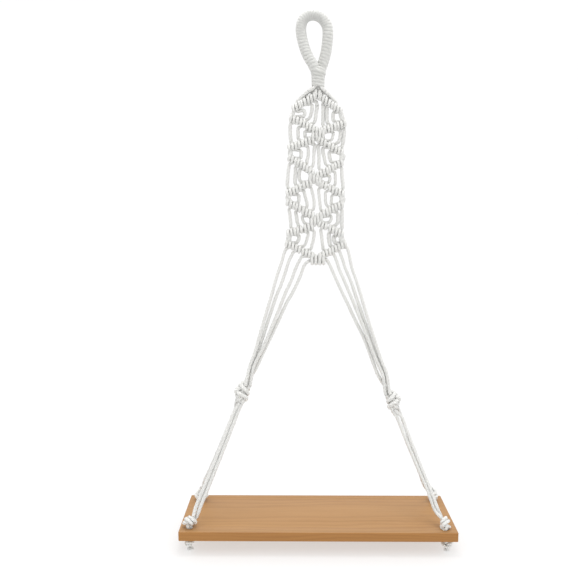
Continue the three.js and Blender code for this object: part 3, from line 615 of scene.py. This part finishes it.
# an overhand knot of four cords, and one of two, drawn tight along Y (each cord from top to bottom)
KNOT_4 = [
    [(-1.3, 10.2, -3.4), (-1.2, 6.9, -3.1), (-2.3, 3.8, -3.7), (-3, 0.6, -3.9), (-3.9, -2.5, -3.6), (-4.8, -4.6, -1.3), (-5.4, -4.9, 2), (-3.8, -5.1, 4.7), (-0.8, -4.7, 5.8), (2.4, -3.9, 5.4), (5, -2.7, 3.8), (6, -1.3, 1), (6.3, 0.4, -1.8), (5.1, 2.2, -4.2), (3.2, 3.9, -6.3), (0.3, 5.5, -6.8), (-2.6, 7, -6.7), (-4.7, 8.1, -4.5), (-5.7, 9, -1.4), (-5.9, 8.1, 1.6), (-4.5, 5.6, 3.2), (-3.1, 2.8, 3.8), (-2.4, -0.3, 3), (-1.8, -3.5, 2.3), (-1.5, -6.7, 2), (-1.8, -10, 2.5)],
    [(0.6, 10.9, 3.8), (-0.5, 8.4, 2.1), (-2.6, 6.7, 0.3), (-5.2, 5.3, -0.9), (-7.8, 3.6, -0.9), (-8.9, 0.9, 0.5), (-7.6, -1.2, 2.4), (-5.5, -1.4, 4.8), (-2.9, -1.2, 6.7), (0.3, -0.7, 7.1), (3.5, 0, 6.9), (6.6, 0.9, 6.3), (7.9, 3.3, 4.8), (7, 5.8, 2.9), (5.6, 8.1, 1.1), (3.1, 10, 0.2), (0.3, 11.4, -0.1), (-2.5, 11.4, 1.4), (-3.3, 9.9, 4), (-1.9, 7.4, 5.5), (-0.2, 4.8, 5), (0.8, 1.8, 4.1), (1.5, -1.1, 2.7), (2.1, -4.1, 1.7), (2.6, -7.2, 2.2), (2.7, -10.5, 2.4)],
    [(4.7, 11.3, 5), (4.1, 9.1, 4.8), (3.2, 7.3, 4.1), (2.4, 6, 2.4), (1.2, 4.8, 1.2), (-0.5, 3.4, 0.6), (-2.4, 2.5, 0.2), (-4.5, 2.2, 0.9), (-6.1, 2.2, 2.4), (-6.8, 2.4, 4.5), (-6, 2.3, 6.4), (-4.1, 2.5, 7.5), (-1.9, 2.7, 8.2), (0.2, 3, 8.6), (2.3, 3.6, 8), (3.7, 4, 6.4), (4.1, 3.3, 4.4), (4.3, 2.4, 2.3), (3.4, 1.6, 0.5), (2.7, 0, -0.7), (3, -1.8, -2), (3.2, -3.3, -3.6), (3, -4.6, -5.5), (3.1, -6.1, -7), (3.7, -8.2, -7.3), (4.2, -10.2, -6.7)],
    [(4.8, 11, -3.2), (3.9, 8.2, -3.1), (2.6, 5.6, -2.6), (1.4, 2.9, -3), (0.9, 0.4, -4.5), (-0.1, -2.2, -5.5), (-1.8, -4.5, -6), (-3.3, -6.7, -4.9), (-2.8, -8.4, -2.6), (-0.5, -9.4, -1.3), (2.4, -9.2, -1.4), (4.5, -7.9, -3), (6.3, -6.4, -4.8), (6.6, -4.3, -6.7), (4.9, -2.4, -8.1), (2.2, -1.4, -8.8), (-0.6, -0.5, -9), (-3.3, -0.1, -7.9), (-5.9, 0.4, -6.5), (-6.9, 0.3, -3.8), (-5.6, -0.3, -1.4), (-3.1, -1.1, -0.5), (-0.8, -2.6, -1.3), (0, -5.2, -2.5), (0.5, -7.5, -4.3), (0.6, -10.3, -5)],
]
KNOT_2 = [
    [(-0.6, 7.3, -0.2), (-0.2, 4.2, -0.5), (-1.3, 1.3, -1.4), (-3.4, -1.1, -1.9), (-5.1, -3.6, -1.4), (-5.3, -5.5, 1.1), (-4, -5.6, 4), (-2.1, -4.2, 6.2), (0.6, -3, 7.4), (3.3, -1.7, 6.5), (5.1, -0.5, 4.1), (6.5, 0.8, 1.6), (6, 2.4, -1.1), (3.7, 3.5, -2.9), (1, 4.4, -4.5), (-2.1, 4.8, -4.1), (-4, 4.5, -1.6), (-3.7, 3.4, 1.3), (-1.6, 1.6, 2.9), (0.2, -0.9, 3.4), (1.1, -4, 3.3), (0.8, -7.2, 3.1)],
    [(4.7, 7.1, 1.8), (4, 5.4, 1.9), (3.2, 3.7, 2.1), (2.6, 2.2, 1.4), (2.5, 0.6, 0.3), (2.6, -0.5, -1.1), (2.3, -0.7, -3), (1.3, -0.3, -4.5), (-0.2, 0.2, -5.5), (-2, 0.7, -5.8), (-3.8, 1.1, -5.6), (-5.4, 1.4, -4.7), (-6.5, 1.4, -3.2), (-7, 1.1, -1.5), (-6.8, 0.5, 0.3), (-6, -0.4, 1.7), (-4.4, -1.3, 2.2), (-2.9, -2.2, 1.8), (-1.7, -3.3, 0.8), (-0.8, -4.4, -0.5), (0.2, -5.8, -1.1), (1.2, -7.4, -1.3)],
]


def placed(strand, centre, down, spin=0.0, flip=1, s=1.0, shift=(0, 0), long=1.0, taper=0.0, lean=0.0):
    """A knot's cord put at centre, its Y turned to point up against down."""
    down = unit(down)
    across = unit(np.cross([0.0, 1.0, 0.0], down)) if abs(down[1]) < 0.99 else np.array([1.0, 0, 0])
    if across[0] < 0:
        across = -across
    back = unit(np.cross(down, across))
    if back[1] < 0:
        back = -back
    c, q = math.cos(spin), math.sin(spin)
    out = []
    for x, y, z in strand:
        x, z = (x + shift[0]) * s * (1 + taper * min(0.0, y) / 10), (z + shift[1]) * s
        x, z = x * c - z * q + lean * min(0.0, y) / 10, x * q + z * c
        out.append(tuple(np.asarray(centre, float) + across * (flip * x) - down * (y * s * long) + back * z))
    return out


def row_sense(hitches, row):
    """The hitches of a row in the order that the holder meets them."""
    o, m, i = hitches[row]
    return [i, m, o] if row % 2 == 0 else [o, m, i]


def row_way(hitches, row, k):
    """The way that the holder runs at hitch k (0 outer, 1 middle, 2 inner) of a row."""
    q = row_sense(hitches, row)
    j = (2 - k) if row % 2 == 0 else k
    a, b = q[max(0, j - 1)], q[min(2, j + 1)]
    return unit([b[0] - a[0], 0, b[1] - a[1]])


def xz(p, y=0.0):
    return (p[0], y, p[1])


def down_leg(r, side, k):
    """From the panel's last row to the leg knot, through it, and on to the board.
    Returns the marks where the cord is cut into pieces, as numbers of waypoints."""
    hitches, corners, between, leg, knot, way, sx = SIDES_OF[side]
    pts = leg[k]
    for q in pts:
        f = min(1.0, max(0.0, (-q[1] - 356.0) / 110.0))
        r.to(q[0], (1 - f) * (1.2 if k < 3 else 0.6) + LEG_Y[k] * f, q[1], 2.7 + 0.2 * min(1.0, 2 * f))
    marks = {}
    # k: outer, middle, inner, holder -> the knot's cord, and the sling's place under it
    strand = [0, 1, 3, 2][k]
    s4, long, thick, taper, lean = (1.22, 1.15, 3.3, 0.4, 2.4) if side == "left" else (1.2, 1.02, 3.1, 0.25, 0.0)
    P = placed(KNOT_4[strand], xz(knot), way, spin=LEG_SPIN[side], flip=-sx, s=s4, shift=(-1.0, 0.6), long=long, taper=taper, lean=lean)
    first = np.asarray(P[0]) - way * 4.0
    r.to(*first, 2.6)
    marks["knot"] = len(r.p)
    for q in P:
        r.to(*q, thick)
    marks["sling"] = len(r.p) - 1
    # the sling
    rear = k in (0, 1)
    lateral = -1 if k in (0, 2) else 1  # outer or inner cord of the sling
    mouth = np.array([AXIS_X + sx * HOLE_X, (HOLE_Y if rear else -HOLE_Y), BOARD_TOP])
    start = np.array([knot[0], 0, knot[1]])
    d = unit(mouth - start)
    across = unit(np.cross([0.0, 1.0, 0.0], d))
    if across[0] < 0:
        across = -across
    outer = -lateral * sx
    L = np.linalg.norm(mouth - start)
    middle = mouth - d * (10.4 if rear else 9.8) + np.array([(3.0 if sx > 0 else 0.0) if rear else 1.0 if sx > 0 else -1.4, 0.0 if rear else -1.4, 1.6 if rear else 0.0])
    thick = 2.75 if sx > 0 else 3.1
    for t in (0.14, 0.22, 0.45, 0.7, 0.86):
        w = thick - (0.35 if t < 0.6 else 0.1 if sx < 0 else 0.5)
        if sx > 0:
            bow = float(np.interp(t, (0.14, 0.22, 0.45, 0.7, 0.86), (-0.7, -1.0, -1.6, -1.6, -1.6 if rear else -2.9)))
            if outer > 0:
                bow += float(np.interp(t, (0.14, 0.22, 0.45, 0.6), (2.2, 1.8, 0.8, 0.0)))
        else:
            bow = 0.9 * math.sin(math.pi * t)
        q = start + d * (L * t) + across * (outer * w + bow)
        r.to(*q, thick - (0.25 if t < 0.15 else 0.0))
    s2 = 1.22
    e = 1 if outer > 0 else 0
    if e == 0:
        K = KNOT_2[0]
    else:
        K = KNOT_2[1]
    spin = TOP_SPIN[("rear_" if rear else "front_") + side]
    P = placed(K, middle, d if rear else d + np.array([0.25 * sx, 0.0, 0.0]), spin=spin, s=s2, shift=(-1.4, -0.8))
    marks["top"] = len(r.p)
    for q in P:
        r.to(*q, 2.8)
    # through the hole
    o = 1 if e else -1
    r.to(mouth[0] + o * 2.0, mouth[1], mouth[2] + 1.6, 2.3)
    marks["stem"] = len(r.p) - 1
    r.to(mouth[0] + o * 2.1, mouth[1], mouth[2] - 4.0, 2.1)
    r.to(mouth[0] + o * 2.1, mouth[1], mouth[2] - 10.0, 2.1)
    under = np.array([mouth[0], mouth[1], mouth[2] - BOARD_T - 7.6])
    P = placed(KNOT_2[1 if e else 0], under, np.array([0.0, 0.0, -1.0]), spin=spin + 0.9, s=0.98, shift=(-1.4, -0.8))
    for q in P:
        r.to(*q, 2.15)
    r.to(under[0] + o * 1.8, under[1], under[2] - 8.6, 2.1)
    marks["fray"] = len(r.p) - 1
    return marks, mouth


LEG_SPIN = {"left": 0.4, "right": 0.4}
TOP_SPIN = {"front_left": 0.3, "rear_left": 2.2, "front_right": 1.2, "rear_right": 0.8}


def working(side, k):
    hitches, corners, between, leg, knot, way, sx = SIDES_OF[side]
    r = Route()
    r.run(LEAD[side][k])
    for row in range(8):
        # two to four bars each, so that a row is closed from the panel's edge to its middle
        r.hitch(xz(hitches[row][k]), row_way(hitches, row, k), turns=(3, 2, 4 if row % 2 and (row > 1 or side == "left") else 3)[k], pitch=5.3)
        if row < 7:
            pts = between[row][k]
            for i, q in enumerate(pts):
                edge = i == 0 or i == len(pts) - 1
                w = q[2] if len(q) > 2 else OPEN_R[side][row][k]
                r.to(q[0], 3.4 if edge else STRAND_Y, q[1], w - (0.3 if edge else 0.0))
    marks, mouth = down_leg(r, side, k)
    return r, marks, mouth


def holder(first, through):
    """A holder zigzags: it starts on one side and changes side at each middle.
    There one holder is straight and the other is hitched round it."""
    r = Route()
    at = first
    x0 = 6.4 if first == "left" else 8.8
    r.to(x0, 0.4, -88.0).to(x0, 0.4, -94.0)
    for d in range(4):
        hitches, corners = SIDES_OF[at][:2]
        for row in (2 * d, 2 * d + 1):
            for q in row_sense(hitches, row):
                r.to(q[0], 0.0, q[1], CORE_R)
            if row == 2 * d:
                for i, q in enumerate(corners[d]):
                    r.to(q[0], -0.6, q[1], CORNER_R[at][d] - (0.5 if i != 1 else 0.0))
        other = "right" if at == "left" else "left"
        if d < 3:
            m = MIDDLES[d]
            if through:
                r.to(m[0], 0.0, m[1], 1.9)
            else:
                o_in = row_sense(SIDES_OF[other][0], 2 * d + 1)[-1]
                o_out = row_sense(hitches, 2 * d + 2)[0]
                r.hitch(xz(m), unit([o_in[0] - o_out[0], 0, 0.5 * (o_in[1] - o_out[1])]), turns=4, core=1.9, r=2.55, pitch=5.3, tall=1.45, lean=0.05)
            at = other
        else:
            sgn = 1 if at == "left" else -1
            if through:
                r.to(BOTTOM[0] - sgn * 9.5, 0.0, BOTTOM[1] + 3.0, 2.0)
                r.to(BOTTOM[0] - sgn * 4.5, 0.0, BOTTOM[1] + 0.2, 2.0)
                r.to(BOTTOM[0], 0.0, BOTTOM[1] - 0.4, 2.0)
                r.to(BOTTOM[0] + sgn * 7.0, 0.0, BOTTOM[1] - 0.4, 2.0)
            else:
                r.hitch((BOTTOM[0] + 0.6, 0.0, BOTTOM[1]), (sgn, 0, 0), turns=4, pitch=5.8, core=2.0, r=2.6, tall=1.45)
            leg_side = "left" if at == "right" else "right"
            marks, mouth = down_leg(r, leg_side, 3)
            return r, leg_side, marks, mouth


cords = []
for side in ("left", "right"):
    for k in range(3):
        r, marks, mouth = working(side, k)
        cords.append((side, k, r, marks, [f"panel_cord_{side}_{['outer', 'middle', 'inner'][k]}"], f"panel_{side}_{['outer', 'middle', 'inner'][k]}"))
for first, through in (("left", False), ("right", True)):
    r, leg_side, marks, mouth = holder(first, through)
    cords.append((leg_side, 3, r, marks, [f"panel_holder_{first}"], f"holder_{first}"))

LEG_NODES = ["outer_front", "outer_rear", "inner_front", "inner_rear"]
knots = {"left": [], "right": []}
slings, tops, stems, ends = {}, {}, {}, {}
for n, (side, k, r, marks, nodes, name) in enumerate(cords):
    # the curve, and where each mark falls on it
    P = np.asarray(r.p, float)
    C, u, rad = r.curve()
    way_points = {key: P[i] for key, i in marks.items()}
    V, U, s, G = rings(C, rad, phase=n * 1.7, wobble=0.035, seed=20 + n)
    cut = {"mouth": int(np.where(C[:, 2] < -99.2)[0][0]), "crown": int(np.where(C[:, 2] < -118.5)[0][0])}
    for key in ("knot", "sling", "top", "stem", "fray"):
        d = np.linalg.norm(C - way_points[key], axis=1)
        cut[key] = int(np.argmin(d))
    part = lambda a, b: (V[a:b + 1], U[a:b + 1], s[a:b + 1], G[a:b + 1])
    neck_end = cord_mesh(name + "_neck", [part(0, cut["mouth"])])
    piece(neck_end, "cord", (), blend=("hanger", "crown", (7, 0, -92.6), (7, 0, -99.0)))
    top = cord_mesh(name + "_crown", [part(cut["mouth"], cut["crown"])])
    piece(top, "cord", (), blend=("crown", "panel", (7, 0, -102.0), (7, 0, -117.5)))
    main = cord_mesh(name, [part(cut["crown"], cut["knot"])])
    piece(main, "cord", nodes + [f"leg_cord_{side}_{LEG_NODES[k]}"], blend=("panel", "legs", (8, 0, -352.0), (8, 0, -526.0)))
    knots[side].append(part(cut["knot"], cut["sling"]))
    at = ("rear_" if k in (0, 1) else "front_") + side
    slings.setdefault(at, []).append(part(cut["sling"], cut["top"]))
    tops.setdefault(at, []).append(part(cut["top"], cut["stem"]))
    stems.setdefault(at, []).append(part(cut["stem"], cut["fray"]))
    ends.setdefault(at, []).append((C[cut["fray"]], unit(C[cut["fray"]] - C[cut["fray"] - 3])))

for side in ("left", "right"):
    knot, way = SIDES_OF[side][4], SIDES_OF[side][5]
    a, b = np.array(xz(knot)) - way * 12, np.array(xz(knot)) + way * 13
    ob = cord_mesh("knot_" + side, knots[side])
    piece(ob, "cord", ["leg_knot_" + side], blend=("legs", "board", tuple(a), tuple(b)))


def fray(name, ends, seed):
    """Each cut cord end opened into loose yarns."""
    g = np.random.RandomState(seed)
    parts = []
    for p, t in ends:
        t = unit(t * 0.3 + np.array([0, 0, -1.0]))
        for i in range(26):
            a, q = g.uniform(0, 2 * math.pi), math.sqrt(g.uniform(0.02, 1))
            out = np.array([math.cos(a), math.sin(a), 0.0])
            L = g.uniform(4.6, 6.8)
            P = [p - t * 2.0 + out * q * 1.2, p + out * q * 1.5 + t * 0.6]
            for f in (0.35, 0.7, 1.0):
                P.append(p + t * (L * f) + out * (q * (1.5 + 3.0 * f ** 1.4)) + g.normal(0, 0.22, 3) * f)
            C, _ = catmull(P, 1.6)
            C, u, _ = resample(C, 1.5)
            rad = np.interp(np.linspace(0, 1, len(C)), [0, 0.7, 1], [0.42, 0.36, 0.12])
            T, N, B = frames(C)
            j = np.arange(5) * 2 * math.pi / 5
            V = C[:, None, :] + (N[:, None, :] * np.cos(j)[None, :, None] + B[:, None, :] * np.sin(j)[None, :, None]) * rad[:, None, None]
            U = np.broadcast_to((np.arange(5) / 5.0)[None, :], V.shape[:2])
            parts.append((V, U, u, np.zeros(V.shape[:2])))
    return cord_mesh(name, parts)


for n, at in enumerate(("front_left", "rear_left", "front_right", "rear_right")):
    piece(cord_mesh("sling_" + at, slings[at]), "cord", [f"sling_cord_{at}_outer", f"sling_cord_{at}_inner"], body="board")
    piece(cord_mesh("corner_knot_" + at, tops[at]), "cord", ["top_knot_" + at], body="board")
    piece(cord_mesh("under_knot_" + at, stems[at]), "cord", ["stop_knot_" + at], body="board")
    piece(fray("tassel_" + at, ends[at], 60 + n), "frayed_cord", ["frayed_end_" + at], body="board")

# the gathered crossing under the neck
r = Route()
r.to(3.9, 3.4, -97.2).to(3.4, 3.9, -98.6)
r.hitch((CROWN[0], 0.0, CROWN[1]), unit([0.97, 0, -0.22]), pitch=5.2, core=2.0, r=2.5, tall=1.3)
r.to(11.4, 3.6, -108.6).to(11.6, 2.8, -110.6)
C, u, rad = r.curve()
crown = cord_mesh("crown_hitch", [rings(C, rad, phase=0.7, wobble=0.03, seed=40)])
piece(crown, "cord", ["crown_knot"], body="crown")

# ------------------------------------------------------------------ board
def board_mesh():
    bevel, corner = 0.9, 1.3
    cu = bpy.data.curves.new("board", "CURVE")
    cu.dimensions, cu.fill_mode = "2D", "BOTH"
    cu.extrude = (BOARD_T / 2 - bevel) * MM
    cu.bevel_depth, cu.bevel_resolution = bevel * MM, 3
    hx, hy = BOARD_L / 2 - bevel, BOARD_D / 2 - bevel
    outline = []
    for cx, cy, a0 in ((hx - corner, hy - corner, 0), (-hx + corner, hy - corner, 90), (-hx + corner, -hy + corner, 180), (hx - corner, -hy + corner, 270)):
        for q in range(7):
            a = math.radians(a0 + 15 * q)
            outline.append((cx + corner * math.cos(a), cy + corner * math.sin(a)))
    loops = [outline]
    for sx in (-1, 1):
        for sy in (-1, 1):
            loops.append([(sx * HOLE_X + (HOLE_R + bevel) * math.cos(-2 * math.pi * q / 40), sy * HOLE_Y + (HOLE_R + bevel) * math.sin(-2 * math.pi * q / 40)) for q in range(40)])
    for lp in loops:
        sp = cu.splines.new("POLY")
        sp.points.add(len(lp) - 1)
        for p, (x, y) in zip(sp.points, lp):
            p.co = (x * MM, y * MM, 0, 1)
        sp.use_cyclic_u = True
    tmp = bpy.data.objects.new("board_curve", cu)
    scene.collection.objects.link(tmp)
    dg = bpy.context.evaluated_depsgraph_get()
    me = bpy.data.meshes.new_from_object(tmp.evaluated_get(dg))
    bpy.data.objects.remove(tmp)
    import bmesh
    bm = bmesh.new()
    bm.from_mesh(me)
    bmesh.ops.remove_doubles(bm, verts=bm.verts, dist=1e-6)
    bmesh.ops.recalc_face_normals(bm, faces=bm.faces)
    bm.to_mesh(me)
    bm.free()
    me.transform(Matrix.Translation(Vector((AXIS_X, 0, BOARD_TOP - BOARD_T / 2)) * MM))
    ob = bpy.data.objects.new("board_plank", me)
    scene.collection.objects.link(ob)
    for p in me.polygons:
        p.use_smooth = True
    mod = ob.modifiers.new("edges", "EDGE_SPLIT")
    mod.split_angle = math.radians(40)
    return ob


plank = board_mesh()
piece(plank, "board", ["shelf_board"], body="board")

# ------------------------------------------------------------------ stage, light, camera
def stage_material():
    """Plain white sheet that glows faintly by itself, painted light that keeps the shadows on it pale."""
    m, nt, bsdf = nodes_of("stage_paper")
    bsdf.inputs["Base Color"].default_value = (0.42, 0.42, 0.42, 1)
    bsdf.inputs["Roughness"].default_value = 0.95
    bsdf.inputs["Specular IOR Level"].default_value = 0.1
    # painted light: the sheet's own glow lifts the shadows that fall on it
    bsdf.inputs["Emission Color"].default_value = (1.0, 1.0, 1.0, 1)
    bsdf.inputs["Emission Strength"].default_value = 0.53
    return m


def backdrop():
    prof = []
    y1, zf, R = 1.6, -0.7885, 1.0
    prof.append((-6.0, zf))
    prof.append((y1 - R, zf))
    for q in range(1, 13):
        a = math.radians(90 * q / 12)
        prof.append((y1 - R + R * math.sin(a), zf + R - R * math.cos(a)))
    prof.append((y1, 4.0))
    verts, faces = [], []
    for x in (-8.0, 8.0):
        for y, z in prof:
            verts.append((x, y, z))
    n = len(prof)
    for i in range(n - 1):
        faces.append((i, i + n, i + n + 1, i + 1))
    me = bpy.data.meshes.new("backdrop")
    me.from_pydata(verts, [], faces)
    for p in me.polygons:
        p.use_smooth = True
    ob = bpy.data.objects.new("backdrop", me)
    me.materials.append(stage_material())
    scene.collection.objects.link(ob)


backdrop()

world = bpy.data.worlds.new("studio")
scene.world = world
world.use_nodes = True
bg = world.node_tree.nodes["Background"]
bg.inputs[0].default_value = (1.0, 1.0, 1.0, 1.0)
bg.inputs[1].default_value = 0.95


def area(name, loc, target, size, power, color=(1, 1, 1)):
    li = bpy.data.lights.new(name, "AREA")
    li.shape = "RECTANGLE"
    li.size, li.size_y = size
    li.energy = power
    li.color = color
    ob = bpy.data.objects.new(name, li)
    ob.location = loc
    d = Vector(target) - Vector(loc)
    ob.rotation_euler = d.to_track_quat("-Z", "Y").to_euler()
    scene.collection.objects.link(ob)
    return ob


area("key", (0.5, -1.15, 1.35), (0, 0, -0.4), (1.4, 1.4), 8.5)
area("top", (0.0, -0.05, 0.9), (0, 0, -0.5), (0.5, 0.4), 4.5)
area("wall", (0.0, 0.0, 1.5), (0, 1.6, 0.9), (3.0, 0.8), 10)
scene.view_settings.view_transform = "Standard"

cam_data = bpy.data.cameras.new("camera")
cam = bpy.data.objects.new("camera", cam_data)
scene.collection.objects.link(cam)
scene.camera = cam
bpy.context.scene.camera = cam
cam_data.sensor_fit = "HORIZONTAL"
cam_data.sensor_width = 36.0
cam_data.lens = 36.0 * 666.0 / 578.0
cam_data.clip_start, cam_data.clip_end = 0.01, 50.0
pitch, yaw, roll = math.radians(-7.42), math.radians(0.72), math.radians(0.15)
rot = Matrix.Rotation(yaw, 3, "Z") @ Matrix.Rotation(pitch, 3, "X") @ Matrix.Rotation(roll, 3, "Y")
right, forward, up = rot.col[0], rot.col[1], rot.col[2]
m = Matrix((right, up, -forward)).transposed().to_4x4()
m.translation = Vector((-22.7, -1006.5, -261.8)) * MM
cam.matrix_world = m
